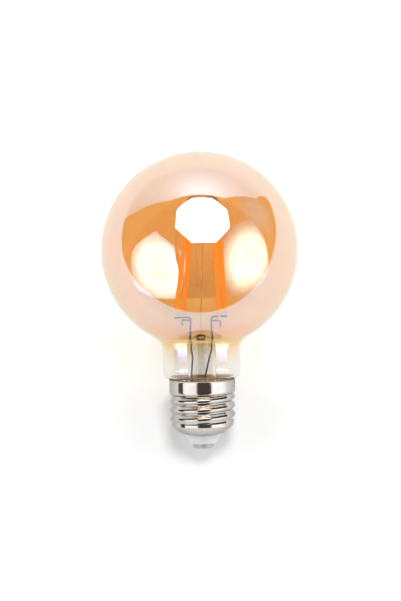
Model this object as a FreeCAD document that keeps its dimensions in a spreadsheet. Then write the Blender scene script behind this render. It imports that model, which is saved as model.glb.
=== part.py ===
import FreeCAD, Part
import math
import os
import re

import Sketcher
from FreeCAD import Placement, Rotation, Vector

# Globe light bulb with four LED filaments and a screw cap, in millimetres.
# The origin is on the flat of the centre contact; +Z runs up the axis to the crown of the globe.
# The blow hole of the stem faces the front, -Y.

doc = FreeCAD.newDocument("globe_bulb")
sheet = doc.addObject("Spreadsheet::Sheet", "Sizes")

SIZES = [
    ("globe_diameter", 80.0, "outside of the round globe"),
    ("neck_diameter", 31.4, "outside of the straight neck"),
    ("neck_length", 8.5, "straight part of the neck"),
    ("neck_fillet", 6.2, "hollow round between neck and globe"),
    ("shoulder_share", 0.7, "share of the step from spigot to neck taken by the outer round"),
    ("glass_wall", 0.8, "wall of the globe and neck"),
    ("rim_gap", 0.3, "glass shoulder above the rim of the cap"),
    ("spigot_depth", 5.0, "end of the glass below the rim"),
    ("spigot_clearance", 0.35, "between the glass spigot and the thread roots inside the shell"),
    ("cap_height", 28.0, "contact face to the rim"),
    ("shell_wall", 0.3, "sheet of the screw shell"),
    ("thread_major", 26.1, "over the thread crests"),
    ("thread_depth", 1.0, "crest to root on one side"),
    ("thread_pitch", 3.629, "seven turns to the inch"),
    ("thread_crest_drop", 6.95, "rim down to the first crest on the +X side"),
    ("collar_step", 0.1, "plain collar beyond the thread crests, on the radius"),
    ("collar_height", 4.6, "plain collar with its lip"),
    ("lip_flare", 0.35, "rim lip beyond the collar, on the radius"),
    ("lip_height", 0.8, "height over which the lip flares"),
    ("floor_diameter", 15.8, "hole in the bottom of the shell"),
    ("floor_height", 6.2, "contact face to the lower edge of the shell"),
    ("bowl_height", 3.3, "rounded bottom of the shell"),
    ("bowl_radius", 8.8, "round of the bottom of the shell"),
    ("bowl_step", 0.15, "top of the bowl beyond the thread roots, on the radius"),
    ("lap", 0.4, "overlap of the rolled thread with the collar and the bowl"),
    ("lap_step", 0.04, "thread ends inside the collar and the bowl, on the radius"),
    ("contact_diameter", 8.6, "head of the centre contact"),
    ("contact_height", 1.9, "head of the centre contact below the insulator"),
    ("contact_round", 0.7, "edge of the contact head"),
    ("rivet_diameter", 3.0, "shank of the contact through the insulator"),
    ("rivet_rise", 0.1, "shank above the insulator floor"),
    ("insulator_foot", 10.6, "lower face of the insulator"),
    ("insulator_floor", 7.7, "contact face to the inside floor of the insulator"),
    ("insulator_clearance", 0.15, "insulator inside the hole of the shell"),
    ("sleeve_clearance", 1.3, "insulator sleeve inside the thread roots"),
    ("sleeve_wall", 1.0, "insulator sleeve"),
    ("sleeve_height", 12.0, "contact face to the top of the sleeve"),
    ("sleeve_foot", 1.7, "slope inside the foot of the sleeve"),
    ("fit_clearance", 0.05, "between pieces that pass through each other"),
    ("cement_top_drop", 1.5, "rim down to the top of the cement"),
    ("cement_height", 2.6, "cement ring"),
    ("stem_diameter", 11.8, "tube of the stem"),
    ("stem_wall", 1.0, "wall of the stem"),
    ("stem_length", 19.0, "seal to the top of the straight tube"),
    ("flare_height", 8.0, "flare at the bottom of the stem"),
    ("flare_clearance", 0.2, "flare inside the glass spigot"),
    ("dome_height", 4.2, "round top of the stem tube"),
    ("cavity_rise", 0.3, "flat inside end of the stem above its straight tube"),
    ("press_width", 9.8, "flat press of the stem, along X"),
    ("press_depth", 3.6, "flat press of the stem, along Y"),
    ("press_length", 8.0, "press above the straight tube"),
    ("press_root", 0.8, "straight tube to the foot of the press, inside the round top"),
    ("press_round", 0.7, "top edge of the press"),
    ("vent_diameter", 2.2, "blow hole in the front of the press"),
    ("vent_height", 3.2, "straight tube to the blow hole"),
    ("exhaust_diameter", 4.0, "exhaust tube"),
    ("exhaust_wall", 0.7, "wall of the exhaust tube"),
    ("exhaust_length", 25.0, "exhaust tube with its closed tip"),
    ("lead_diameter", 0.7, "lead wires and branch wires"),
    ("lead_spacing", 8.4, "between the lead wires in the press"),
    ("lead_rise", 3.3, "press to the arms of the lead wires"),
    ("lead_past", 0.6, "arms of the lead wires beyond the filament ends"),
    ("lead_straight", 1.5, "leads straight below the top of the stem tube"),
    ("lead_kink", 5.0, "top of the stem tube to the upper kinks of the leads"),
    ("lead_drop_right", 13.0, "top of the stem tube to the lower kink of the right lead"),
    ("lead_drop_left", 12.0, "top of the stem tube to the lower kink of the left lead"),
    ("branch_drop", 1.4, "arm of the lead wire down to the end of the branch wire"),
    ("branch_hook", 2.2, "bent end of the branch wire"),
    ("support_diameter", 0.5, "support wire and top wires"),
    ("support_root", 2.0, "support wire inside the press"),
    ("support_foot", 3.0, "support wire straight above the press"),
    ("support_head", 6.0, "support wire straight below the crossing"),
    ("wire_bend", 1.2, "bends of the wires"),
    ("cage_bottom", 22.0, "circle of the lower filament ends, diameter"),
    ("cage_top", 12.4, "circle of the upper filament ends, diameter"),
    ("cage_lean", 1.8, "upper ends set over to +X"),
    ("cage_turn", 22.0, "first filament from +X, degrees"),
    ("cage_split", 69.0, "between the two filaments of one side, degrees"),
    ("top_rise", 3.3, "upper filament ends to the bends of the top wires"),
    ("top_dip", 1.8, "top wires down from the bends to the crossing"),
    ("filament_diameter", 1.9, "coated filament"),
    ("filament_length", 41.0, "coated filament"),
    ("filament_round", 0.5, "ends of the coating"),
    ("tab_length", 2.07, "metal ends of the filament with the shortest span"),
    ("tab_width", 0.9, "metal end of a filament"),
    ("tab_thickness", 0.25, "metal end of a filament"),
    ("weld_gap", 0.06, "between pieces that are welded end to side"),
    ("board_thickness", 1.0, "driver board"),
    ("capacitor_diameter", 5.0, "smoothing capacitor"),
    ("capacitor_length", 9.0, "smoothing capacitor"),
    ("capacitor_offset", 5.2, "axis to the middle of the capacitor"),
    ("chip_length", 4.9, "rectifier and driver chip, along Y"),
    ("chip_width", 3.9, "rectifier and driver chip, along X"),
    ("chip_height", 1.6, "rectifier and driver chip"),
    ("chip_offset", 5.0, "axis to the middle of each chip"),
    ("resistor_diameter", 2.4, "fuse resistor"),
    ("resistor_lead", 0.6, "leads of the fuse resistor"),
    ("resistor_end", 1.2, "bare lead at each end of the fuse resistor"),
    ("shell_wire_diameter", 0.4, "wire from the board to the shell"),
    ("shell_wire_azimuth", -12.0, "shell wire from +X, degrees"),
    ("shell_wire_drop", 1.2, "wire down the outside of the collar"),
    ("shell_wire_bend", 3.0, "seal down to the lower bend of the shell wire"),
    ("notch_width", 0.8, "notch in the rim for the shell wire"),
    ("notch_depth", 1.2, "notch in the rim for the shell wire"),
    ("solder_width", 1.1, "half width of the solder bead"),
    ("solder_depth", 0.7, "solder bead out from the collar"),
    ("solder_sink", 0.25, "foot of the bead's dome inside the collar, cut away"),
]

for row, (alias, number, meaning) in enumerate(SIZES, start=1):
    sheet.set("A%d" % row, alias)
    sheet.set("B%d" % row, str(number))
    sheet.set("C%d" % row, meaning)
    sheet.setAlias("B%d" % row, alias)
doc.recompute()

NAMES = {alias for alias, number, meaning in SIZES}


# An expression in the sheet's own words, as FreeCAD binds it.
def bound(text):
    return re.sub(r"[a-z_]+", lambda m: "Sizes." + m.group() if m.group() in NAMES else m.group(), text)


# The number that an expression gives now.
def size(text):
    return float(sheet.evalExpression(bound(text)))


# A body turned about Z from a closed outline of (radius, height) corners.
# A corner may also name the arc to the next corner: "ccw" or "cw", and its radius.
def turned(label, outline):
    body = doc.addObject("PartDesign::Body", label)
    sketch = body.newObject("Sketcher::SketchObject", label + "_outline")
    plane = [f for f in body.Origin.OriginFeatures if f.Role == "XZ_Plane"][0]
    sketch.AttachmentSupport = [(plane, "")]
    sketch.MapMode = "FlatFace"
    points = [Vector(size(c[0]), size(c[1]), 0) for c in outline]
    ends = []
    for i, corner in enumerate(outline):
        p, q = points[i], points[(i + 1) % len(points)]
        if len(corner) == 2:
            sketch.addGeometry(Part.LineSegment(p, q), False)
            ends.append((1, 2))
            continue
        radius = size(corner[3])
        chord = q - p
        left = Vector(-chord.y, chord.x, 0).normalize()
        reach = math.sqrt(max(radius ** 2 - (chord.Length / 2) ** 2, 0.0))
        centre = (p + q) * 0.5 + left * (reach if corner[2] == "ccw" else -reach)
        first, last = (p, q) if corner[2] == "ccw" else (q, p)
        start = math.atan2(first.y - centre.y, first.x - centre.x)
        stop = math.atan2(last.y - centre.y, last.x - centre.x)
        circle = Part.Circle(centre, Vector(0, 0, 1), radius)
        sketch.addGeometry(Part.ArcOfCircle(circle, start, stop if stop > start else stop + 2 * math.pi), False)
        ends.append((1, 2) if corner[2] == "ccw" else (2, 1))
    for i in range(len(outline)):
        j = (i + 1) % len(outline)
        sketch.addConstraint(Sketcher.Constraint("Coincident", i, ends[i][1], j, ends[j][0]))
    for i, corner in enumerate(outline):
        if corner[0] == "0":
            sketch.addConstraint(Sketcher.Constraint("PointOnObject", i, ends[i][0], -2))
        else:
            at = sketch.addConstraint(Sketcher.Constraint("DistanceX", -1, 1, i, ends[i][0], points[i].x))
            sketch.renameConstraint(at, "radius_%d" % i)
            sketch.setExpression("Constraints.radius_%d" % i, bound(corner[0]))
        if corner[1] == "0":
            sketch.addConstraint(Sketcher.Constraint("PointOnObject", i, ends[i][0], -1))
        else:
            at = sketch.addConstraint(Sketcher.Constraint("DistanceY", -1, 1, i, ends[i][0], points[i].y))
            sketch.renameConstraint(at, "height_%d" % i)
            sketch.setExpression("Constraints.height_%d" % i, bound(corner[1]))
        if len(corner) == 4:
            at = sketch.addConstraint(Sketcher.Constraint("Radius", i, size(corner[3])))
            sketch.renameConstraint(at, "arc_%d" % i)
            sketch.setExpression("Constraints.arc_%d" % i, bound(corner[3]))
    turn = body.newObject("PartDesign::Revolution", label + "_turn")
    turn.Profile = sketch
    turn.ReferenceAxis = (sketch, ["V_Axis"])
    turn.Angle = 360.0
    body.Tip = turn
    doc.recompute()
    return body


# A round wire through the points, with the corners bent.
def wire(label, points, diameter):
    bend = size("wire_bend")
    edges = []
    here = points[0]
    for before, corner, after in zip(points, points[1:], points[2:]):
        back = (before - corner).normalize()
        on = (after - corner).normalize()
        half = (math.pi - back.getAngle(on)) / 2
        room = 0.45 * min((before - corner).Length, (after - corner).Length)
        run = min(bend * math.tan(half), room)
        radius = run / math.tan(half)
        middle = (back + on).normalize()
        apex = corner + middle * (radius / math.cos(half) - radius)
        edges.append(Part.LineSegment(here, corner + back * run).toShape())
        edges.append(Part.Arc(corner + back * run, apex, corner + on * run).toShape())
        here = corner + on * run
    edges.append(Part.LineSegment(here, points[-1]).toShape())
    path = doc.addObject("Part::Feature", label + "_path")
    path.Shape = Part.Wire(edges)
    section = doc.addObject("Part::Circle", label + "_section")
    section.setExpression("Radius", bound(diameter + " / 2"))
    section.Placement = Placement(points[0], Rotation(Vector(0, 0, 1), points[1] - points[0]))
    sweep = doc.addObject("Part::Sweep", label)
    sweep.Sections = [section]
    sweep.Spine = (path, ["Edge%d" % (i + 1) for i in range(len(edges))])
    sweep.Solid = True
    sweep.Frenet = False
    doc.recompute()
    return sweep


# A plain cylinder along an axis, from a start point.
def rod(label, diameter, length, start, direction):
    cylinder = doc.addObject("Part::Cylinder", label)
    cylinder.setExpression("Radius", bound("(%s) / 2" % diameter))
    cylinder.setExpression("Height", bound(length))
    cylinder.Placement = Placement(start, Rotation(Vector(0, 0, 1), direction))
    return cylinder


# A block with its middle over a point of its own base.
def block(label, length, width, height, base, rotation):
    box = doc.addObject("Part::Box", label)
    box.setExpression("Length", bound(length))
    box.setExpression("Width", bound(width))
    box.setExpression("Height", bound(height))
    corner = Vector(-size(length) / 2, -size(width) / 2, 0)
    box.Placement = Placement(base + rotation.multVec(corner), rotation)
    return box


def fused(label, shapes):
    join = doc.addObject("Part::MultiFuse", label)
    join.Shapes = shapes
    doc.recompute()
    return join


def cut(label, base, tool):
    result = doc.addObject("Part::Cut", label)
    result.Base = base
    result.Tool = tool
    doc.recompute()
    return result


# Radii and heights that several pieces share
root = "(thread_major / 2 - thread_depth)"
spigot = "(thread_major / 2 - thread_depth - shell_wall - spigot_clearance)"
collar = "(thread_major / 2 + collar_step)"
step = "(neck_diameter / 2 - %s)" % spigot
outer_round = "(%s * shoulder_share)" % step
inner_round = "(%s * (1 - shoulder_share))" % step
shoulder = "(cap_height + rim_gap)"
seal = "(cap_height - spigot_depth)"
blend = "(neck_diameter / 2 + neck_fillet)"
reach = "(globe_diameter / 2 + neck_fillet)"
drop = "sqrt(%s ^ 2 - %s ^ 2)" % (reach, blend)
neck_foot = "(%s + %s)" % (shoulder, outer_round)
neck_top = "(%s + neck_length)" % neck_foot
centre = "(%s + %s)" % (neck_top, drop)
tube_top = "(%s + stem_length)" % seal
press_top = "(%s + press_length)" % tube_top
arm = "(%s + lead_rise)" % press_top
cavity = "(%s + cavity_rise)" % tube_top
board_foot = "sleeve_height"
board_top = "(sleeve_height + board_thickness)"
sleeve = "(%s - shell_wall - sleeve_clearance)" % root

pieces = {}

# Blown globe, neck and the spigot that goes into the cap
pieces["glass_globe"] = turned("glass_globe", [
    (spigot, seal),
    (spigot, shoulder + " - " + inner_round, "cw", inner_round),
    (spigot + " + " + inner_round, shoulder, "ccw", outer_round),
    ("neck_diameter / 2", neck_foot),
    ("neck_diameter / 2", neck_top, "cw", "neck_fillet"),
    ("globe_diameter / 2 * %s / %s" % (blend, reach),
     "%s - globe_diameter / 2 * %s / %s" % (centre, drop, reach), "ccw", "globe_diameter / 2"),
    ("0", centre + " + globe_diameter / 2"),
    ("0", centre + " + globe_diameter / 2 - glass_wall", "cw", "globe_diameter / 2 - glass_wall"),
    ("(globe_diameter / 2 - glass_wall) * %s / %s" % (blend, reach),
     "%s - (globe_diameter / 2 - glass_wall) * %s / %s" % (centre, drop, reach),
     "ccw", "neck_fillet + glass_wall"),
    ("neck_diameter / 2 - glass_wall", neck_top),
    ("neck_diameter / 2 - glass_wall", neck_foot, "cw", outer_round + " - glass_wall"),
    (spigot + " + " + inner_round, shoulder + " + glass_wall", "ccw", inner_round + " + glass_wall"),
    (spigot + " - glass_wall", shoulder + " - " + inner_round),
    (spigot + " - glass_wall", seal),
])

# Stem tube with its flare; the flange under the seal carries the end of the spigot
mouth = "(%s - glass_wall - flare_clearance)" % spigot
spread = "(%s - stem_diameter / 2)" % mouth
flare = "((%s ^ 2 + flare_height ^ 2) / (2 * %s))" % (spread, spread)
stem_tube = turned("stem_tube", [
    (spigot, seal + " - stem_wall"),
    (spigot, seal),
    (mouth, seal, "cw", flare),
    ("stem_diameter / 2", seal + " + flare_height"),
    ("stem_diameter / 2", tube_top, "ccw",
     "((stem_diameter / 2) ^ 2 + dome_height ^ 2) / (2 * dome_height)"),
    ("0", tube_top + " + dome_height"),
    ("0", cavity),
    ("stem_diameter / 2 - stem_wall", cavity),
    ("stem_diameter / 2 - stem_wall", seal + " + flare_height", "ccw", "%s + stem_wall" % flare),
    ("stem_diameter / 2 + %s - sqrt((%s + stem_wall) ^ 2 - (flare_height + stem_wall) ^ 2)" % (flare, flare),
     seal + " - stem_wall"),
])

# Flat press with round sides
press = doc.addObject("PartDesign::Body", "stem_press")
press_sketch = press.newObject("Sketcher::SketchObject", "stem_press_outline")
press_sketch.AttachmentSupport = [([f for f in press.Origin.OriginFeatures if f.Role == "XY_Plane"][0], "")]
press_sketch.MapMode = "FlatFace"
side = size("press_width / 2 - press_depth / 2")
edge = size("press_depth / 2")
up = Vector(0, 0, 1)
press_sketch.addGeometry(Part.LineSegment(Vector(-side, -edge, 0), Vector(side, -edge, 0)), False)
press_sketch.addGeometry(
    Part.ArcOfCircle(Part.Circle(Vector(side, 0, 0), up, edge), -math.pi / 2, math.pi / 2), False)
press_sketch.addGeometry(Part.LineSegment(Vector(side, edge, 0), Vector(-side, edge, 0)), False)
press_sketch.addGeometry(
    Part.ArcOfCircle(Part.Circle(Vector(-side, 0, 0), up, edge), math.pi / 2, 3 * math.pi / 2), False)
for first, second in [(0, 1), (1, 2), (2, 3), (3, 0)]:
    press_sketch.addConstraint(Sketcher.Constraint("Tangent", first, 2, second, 1))
press_sketch.addConstraint(Sketcher.Constraint("PointOnObject", 1, 3, -1))
press_sketch.addConstraint(Sketcher.Constraint("PointOnObject", 3, 3, -1))
at = press_sketch.addConstraint(Sketcher.Constraint("Radius", 1, edge))
press_sketch.renameConstraint(at, "edge")
press_sketch.setExpression("Constraints.edge", bound("press_depth / 2"))
at = press_sketch.addConstraint(Sketcher.Constraint("DistanceX", -1, 1, 1, 3, side))
press_sketch.renameConstraint(at, "right")
press_sketch.setExpression("Constraints.right", bound("press_width / 2 - press_depth / 2"))
at = press_sketch.addConstraint(Sketcher.Constraint("DistanceX", 3, 3, -1, 1, side))
press_sketch.renameConstraint(at, "left")
press_sketch.setExpression("Constraints.left", bound("press_width / 2 - press_depth / 2"))
press_pad = press.newObject("PartDesign::Pad", "stem_press_pad")
press_pad.Profile = press_sketch
press_pad.setExpression("Length", bound("press_length - press_root"))
press.Tip = press_pad
doc.recompute()
crown = [i for i, e in enumerate(press_pad.Shape.Edges)
         if abs(e.BoundBox.ZMin - press_pad.Shape.BoundBox.ZMax) < 1e-6]
press_fillet = press.newObject("PartDesign::Fillet", "stem_press_round")
press_fillet.Base = (press_pad, ["Edge%d" % (i + 1) for i in crown])
press_fillet.setExpression("Radius", bound("press_round"))
press.Tip = press_fillet
press.Placement = Placement(Vector(0, 0, size(tube_top + " + press_root")), Rotation())
doc.recompute()

# Holes of the stem: both leads, the support wire, the bore of the exhaust tube and the blow hole
half = size("lead_spacing / 2")
lead_hole = "lead_diameter + 2 * fit_clearance"
hole_foot = tube_top + " - press_length / 4"
vent_at = Vector(0, 0, size(tube_top + " + vent_height"))
stem_holes = fused("stem_holes", [
    rod("lead_hole_left", lead_hole, "2 * press_length", Vector(-half, 0, size(hole_foot)), up),
    rod("lead_hole_right", lead_hole, "2 * press_length", Vector(half, 0, size(hole_foot)), up),
    rod("support_hole", "support_diameter + 2 * fit_clearance", "2 * support_root",
        Vector(0, 0, size(press_top + " - support_root")), up),
    rod("exhaust_bore", "exhaust_diameter - 2 * exhaust_wall", "vent_height",
        Vector(0, 0, size(tube_top)), up),
    rod("vent_bore", "vent_diameter", "stem_diameter", vent_at, Vector(0, -1, 0)),
])
pieces["glass_stem"] = cut("glass_stem", fused("stem_blank", [stem_tube, press]), stem_holes)

# Exhaust tube, closed at its lower tip
exhaust = "exhaust_diameter / 2"
bore = "(exhaust_diameter / 2 - exhaust_wall)"
tip = "(%s - exhaust_length)" % cavity
pieces["exhaust_tube"] = turned("exhaust_tube", [
    ("0", tip, "ccw", exhaust),
    (exhaust, tip + " + exhaust_diameter / 2"),
    (exhaust, cavity),
    (bore, cavity),
    (bore, tip + " + exhaust_diameter / 2", "cw", bore),
    ("0", tip + " + exhaust_wall"),
])

# Lower and upper ends of the four filaments; the first and third stand on the lead wires' arms
lower = []
upper = []
for i, angle in enumerate([0.0, -size("cage_split"), 180.0, 180.0 - size("cage_split")]):
    turn_by = math.radians(size("cage_turn") + angle)
    ray = Vector(math.cos(turn_by), math.sin(turn_by), 0)
    foot = size(arm) - (size("branch_drop") if i % 2 else 0.0)
    lower.append(ray * size("cage_bottom / 2") + Vector(0, 0, foot))
    upper.append(ray * size("cage_top / 2") + Vector(size("cage_lean"), 0, foot))

# All upper ends stand at one height, where the shortest span still holds its filament and two tabs
span = size("filament_length + 2 * tab_length + lead_diameter / 2 + 2 * weld_gap")
cage = max(low.z + math.sqrt(span ** 2 - (high - low).Length ** 2) for low, high in zip(lower, upper))
for end in upper:
    end.z = cage

# Lead wires from the driver board through the press to the arms
board = size(board_top)
tube = size(tube_top)
past = size("lead_past")
straight = tube - size("lead_straight")
kink = tube - size("lead_kink")
right_end = lower[0] + (lower[0] - Vector(half, 0, lower[0].z)).normalize() * past
left_end = lower[2] + (lower[2] - Vector(-half, 0, lower[2].z)).normalize() * past
pieces["lead_wire_right"] = wire("lead_wire_right", [
    Vector(half * 0.3, -half * 0.8, board + size("weld_gap")),
    Vector(half * 0.3, -half * 0.76, tube - size("lead_drop_right")),
    Vector(half * 0.75, -half * 0.4, kink),
    Vector(half, 0, straight),
    Vector(half, 0, size(arm)),
    right_end,
], "lead_diameter")
pieces["lead_wire_left"] = wire("lead_wire_left", [
    Vector(-half, 0, board + size("weld_gap")),
    Vector(-half, -half * 0.15, tube - size("lead_drop_left")),
    Vector(-half * 0.86, -half * 0.1, kink),
    Vector(-half, 0, straight),
    Vector(-half, 0, size(arm)),
    left_end,
], "lead_diameter")

# Branch wires from the leads to the other two filaments, with hooked ends
for label, x, end in [("branch_wire_right", half, lower[1]), ("branch_wire_left", -half, lower[3])]:
    start = Vector(x, 0, size(arm) - size("branch_drop"))
    ray = (end - start).normalize()
    pieces[label] = wire(label, [
        start + ray * size("lead_diameter / 2 + weld_gap"),
        end + ray * size("lead_diameter"),
        end + ray * size("lead_diameter") - Vector(0, 0, size("branch_hook")),
    ], "lead_diameter")

# Filaments with their metal tabs, which meet the wires end to side below and end to end above
for i in range(4):
    ray = (upper[i] - lower[i]).normalize()
    start = lower[i] + ray * size("lead_diameter / 2 + weld_gap")
    stop = upper[i] - ray * size("weld_gap")
    turn_to = Rotation(Vector(0, 0, 1), ray)
    tab = ((stop - start).Length - size("filament_length")) / 2
    name = "filament_%d" % (i + 1)
    pieces[name] = turned(name, [
        ("0", "0"),
        ("filament_diameter / 2 - filament_round", "0", "ccw", "filament_round"),
        ("filament_diameter / 2", "filament_round"),
        ("filament_diameter / 2", "filament_length - filament_round", "ccw", "filament_round"),
        ("filament_diameter / 2 - filament_round", "filament_length"),
        ("0", "filament_length"),
    ])
    pieces[name].Placement = Placement(start + ray * tab, turn_to)
    for place, base in [("lower", start), ("upper", stop - ray * tab)]:
        label = "%s_tab_%d" % (place, i + 1)
        pieces[label] = block(label, "tab_width", "tab_thickness", "%.6f" % tab, base, turn_to)

# Top wires: each joins two opposite filaments and dips to the crossing, one over the other
crossing = cage + size("top_rise - top_dip")
over = size("support_diameter + weld_gap")
for label, ends, lift in [("top_wire_low", upper[0::2], 0.0), ("top_wire_high", upper[1::2], over)]:
    rise = Vector(0, 0, size("top_rise") + lift)
    pieces[label] = wire(label, [
        ends[0],
        ends[0] + rise,
        Vector(size("cage_lean"), 0, crossing + lift),
        ends[1] + rise,
        ends[1],
    ], "support_diameter")

# Support wire from the press to the crossing
pieces["support_wire"] = wire("support_wire", [
    Vector(0, 0, size(press_top + " - support_root")),
    Vector(0, 0, size(press_top + " + support_foot")),
    Vector(size("cage_lean"), 0, crossing - size("support_head")),
    Vector(size("cage_lean"), 0, crossing - size("support_diameter / 2 + weld_gap")),
], "support_diameter")

# Plain collar of the screw shell with its flared lip
lip = "((lip_flare ^ 2 + lip_height ^ 2) / (2 * lip_flare))"
collar_foot = "(cap_height - collar_height)"
lip_foot = "(cap_height - lip_height)"
shell_collar = turned("shell_collar", [
    (collar + " - shell_wall", collar_foot),
    (collar, collar_foot),
    (collar, lip_foot, "cw", lip),
    (collar + " + lip_flare", "cap_height"),
    ("%s + %s - sqrt((%s + shell_wall) ^ 2 - lip_height ^ 2)" % (collar, lip, lip), "cap_height",
     "ccw", lip + " + shell_wall"),
    (collar + " - shell_wall", lip_foot),
])

# Rounded bottom of the screw shell
bowl_top = "(floor_height + bowl_height)"
bowl_edge = "(%s + bowl_step)" % root
shell_bowl = turned("shell_bowl", [
    ("floor_diameter / 2", "floor_height", "ccw", "bowl_radius"),
    (bowl_edge, bowl_top),
    (bowl_edge, bowl_top + " + lap"),
    (bowl_edge + " - shell_wall", bowl_top + " + lap"),
    (bowl_edge + " - shell_wall", bowl_top, "cw", "bowl_radius - shell_wall"),
    ("floor_diameter / 2", "floor_height + shell_wall"),
])

# Rolled thread: a right-hand wave in the sheet that dies out half a turn before the collar and the bowl
low = size(bowl_top)
high = size(collar_foot + " + lap")
lap = size("lap")
pitch = size("thread_pitch")
swing = size("thread_depth / 2")
middle = size("thread_major / 2 - thread_depth / 2")
first_crest = size("cap_height - thread_crest_drop")
top_edge = size(collar + " - lap_step")
low_edge = size(bowl_edge + " - lap_step")


def ease(share):
    share = min(max(share, 0.0), 1.0)
    return share * share * (3.0 - 2.0 * share)


# Plain radius and wave of the sheet's outer face at an angle and a height.
def rolled(angle, height):
    out = ease((height + lap - high) / (pitch / 2) + 1.0)
    back = ease((low + lap - height) / (pitch / 2) + 1.0)
    plain = middle + (top_edge - middle) * out + (low_edge - middle) * back
    wave = swing * (1.0 - out) * (1.0 - back)
    return plain, wave * math.cos(2 * math.pi * (height - first_crest) / pitch - angle)


# Solid inside the rolled face, set in by a wall, between two heights.
def rolled_core(inset, bottom, top):
    columns = 24
    rows = max(8, int(math.ceil((top - bottom) / pitch * 8)) + 1)
    spacing = (top - bottom) / (rows - 1)
    round_gain = (2 + math.cos(2 * math.pi / columns)) / 3
    wave_gain = (2 + math.cos(2 * math.pi * spacing / pitch)) / 3
    poles = []
    for column in range(columns):
        angle = 2 * math.pi * column / columns
        line = []
        for row in range(rows):
            height = bottom + spacing * row
            plain, wave = rolled(angle, height)
            radius = (plain - inset + wave / wave_gain) / round_gain
            line.append(Vector(radius * math.cos(angle), radius * math.sin(angle), height))
        poles.append(line)
    surface = Part.BSplineSurface()
    surface.buildFromPolesMultsKnots(
        poles, [1] * (columns + 1), [4] + [1] * (rows - 4) + [4],
        list(range(columns + 1)), list(range(rows - 2)), True, False, 3, 3)
    face = surface.toShape()
    faces = [face]
    for level in (bottom, top):
        ring = [e for e in face.Edges if abs(e.BoundBox.ZMin - level) + abs(e.BoundBox.ZMax - level) < 1e-3]
        faces.append(Part.Face(Part.Wire(ring)))
    shell = Part.Compound(faces)
    shell.sewShape()
    solid = Part.Solid(Part.Shell(shell.Faces))
    if solid.Volume < 0:
        solid.reverse()
    return solid


shell_thread = doc.addObject("Part::Feature", "shell_thread")
shell_thread.Shape = rolled_core(0.0, low, high).cut(rolled_core(size("shell_wall"), low - 1, high + 1))

# Screw shell with the notch in its rim where the shell wire goes over
azimuth = Rotation(Vector(0, 0, 1), size("shell_wire_azimuth"))
notch = block("rim_notch", "4 * lip_height", "notch_width", "notch_depth + 1",
              azimuth.multVec(Vector(size(collar), 0, size("cap_height - notch_depth"))), azimuth)
shell_blank = fused("shell_blank", [shell_collar, shell_thread, shell_bowl])
pieces["screw_shell"] = cut("screw_shell", shell_blank, notch)

# Insulator: the cone below the shell, and the sleeve round the driver inside it
hole = "(floor_diameter / 2 - insulator_clearance)"
seat = "(floor_height + shell_wall + 2 * insulator_clearance)"
slope = "((bowl_height - shell_wall) / (%s - shell_wall - floor_diameter / 2))" % bowl_edge
sleeve_in = "(%s - sleeve_wall)" % sleeve
pieces["cap_insulator"] = turned("cap_insulator", [
    ("rivet_diameter / 2 + fit_clearance", "contact_height"),
    ("insulator_foot / 2", "contact_height"),
    (hole, "floor_height"),
    (hole, seat),
    (sleeve, "%s + (%s - %s) * %s" % (seat, sleeve, hole, slope)),
    (sleeve, "sleeve_height"),
    (sleeve_in, "sleeve_height"),
    (sleeve_in, "insulator_floor + sleeve_foot"),
    (sleeve_in + " - sleeve_foot", "insulator_floor"),
    ("rivet_diameter / 2 + fit_clearance", "insulator_floor"),
])

# Centre contact: a riveted head
rivet_top = "(insulator_floor + rivet_rise)"
pieces["centre_contact"] = turned("centre_contact", [
    ("0", "0"),
    ("contact_diameter / 2 - contact_round", "0", "ccw", "contact_round"),
    ("contact_diameter / 2", "contact_round"),
    ("contact_diameter / 2", "contact_height"),
    ("rivet_diameter / 2", "contact_height"),
    ("rivet_diameter / 2", rivet_top),
    ("0", rivet_top),
])

# Shell wire from the board past the seal, up through the cement and over the rim
track = "(%s + shell_wire_diameter / 2 + 4 * fit_clearance)" % spigot
over_rim = size("cap_height - notch_depth / 2")
outside = size(collar + " + shell_wire_diameter / 2 + weld_gap")
inboard = size(sleeve + " - sleeve_wall")
under_seal = size(seal + " - stem_wall")
shell_wire_points = [
    Vector(inboard, 0, board),
    Vector(inboard, 0, under_seal - size("shell_wire_bend")),
    Vector(size(track), 0, under_seal - size("shell_wire_diameter / 2")),
    Vector(size(track), 0, over_rim),
    Vector(outside, 0, over_rim),
    Vector(outside, 0, over_rim - size("shell_wire_drop")),
]
pieces["shell_wire"] = wire("shell_wire", [azimuth.multVec(p) for p in shell_wire_points], "shell_wire_diameter")

# Cement ring between glass and collar, with the passage of the shell wire
cement_top = "(cap_height - cement_top_drop)"
cement_ring = turned("cement_ring", [
    (spigot + " + fit_clearance", cement_top + " - cement_height"),
    (collar + " - shell_wall - fit_clearance", cement_top + " - cement_height"),
    (collar + " - shell_wall - fit_clearance", cement_top),
    (spigot + " + fit_clearance", cement_top),
])
passage = rod("cement_passage", "shell_wire_diameter + 2 * fit_clearance", "cement_height + 2",
              azimuth.multVec(Vector(size(track), 0, size(cement_top + " - cement_height") - 1)), up)
pieces["cap_cement"] = cut("cap_cement", cement_ring, passage)

# Solder bead at the end of the shell wire, a dome on the collar
dome = "(solder_depth + solder_sink)"
bead_blank = turned("bead_blank", [
    ("0", "0"),
    ("solder_width", "0", "ccw", "(solder_width ^ 2 + %s ^ 2) / (2 * %s)" % (dome, dome)),
    ("0", dome),
])
bead_height = over_rim - size("shell_wire_drop + solder_width + weld_gap")
bead_foot = Vector(size(collar + " - solder_sink"), 0, bead_height)
outward = azimuth.multVec(Vector(1, 0, 0))
bead_blank.Placement = Placement(azimuth.multVec(bead_foot), Rotation(up, outward))
bead_seat = rod("bead_seat", "2 * (%s + weld_gap / 2)" % collar, "4 * solder_width",
                Vector(0, 0, bead_height - 2 * size("solder_width")), up)
pieces["solder_bead"] = cut("solder_bead", bead_blank, bead_seat)

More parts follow.
